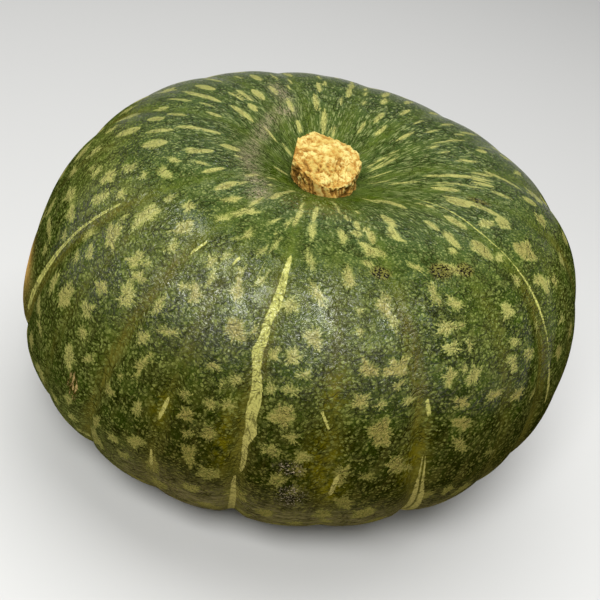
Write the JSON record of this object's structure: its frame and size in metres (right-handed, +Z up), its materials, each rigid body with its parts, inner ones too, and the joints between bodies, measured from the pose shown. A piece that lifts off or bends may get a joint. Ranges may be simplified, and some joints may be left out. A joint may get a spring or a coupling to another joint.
{
  "type": "kabocha squash",
  "caption": "Squat round kabocha squash with shallow ribs, a dark green mottled rind and a corky stub of stem, resting on its base.",
  "frame": {"origin": "on the resting surface, below the middle of the object's box", "axes": "+Z up through the stem, -Y towards the side with the broad pale stripe, +X to its right"},
  "size_m": [0.1942, 0.1898, 0.1234],
  "materials": {
    "rind": "waxy, finely pebbled dark green with pale yellow-green flecks and stripes",
    "cork": "rough dry cork, straw to orange brown, cracked down the sides"
  },
  "bodies": {
    "root": {"fruit": "rind", "stem": "cork"}
  },
  "joints": []
}
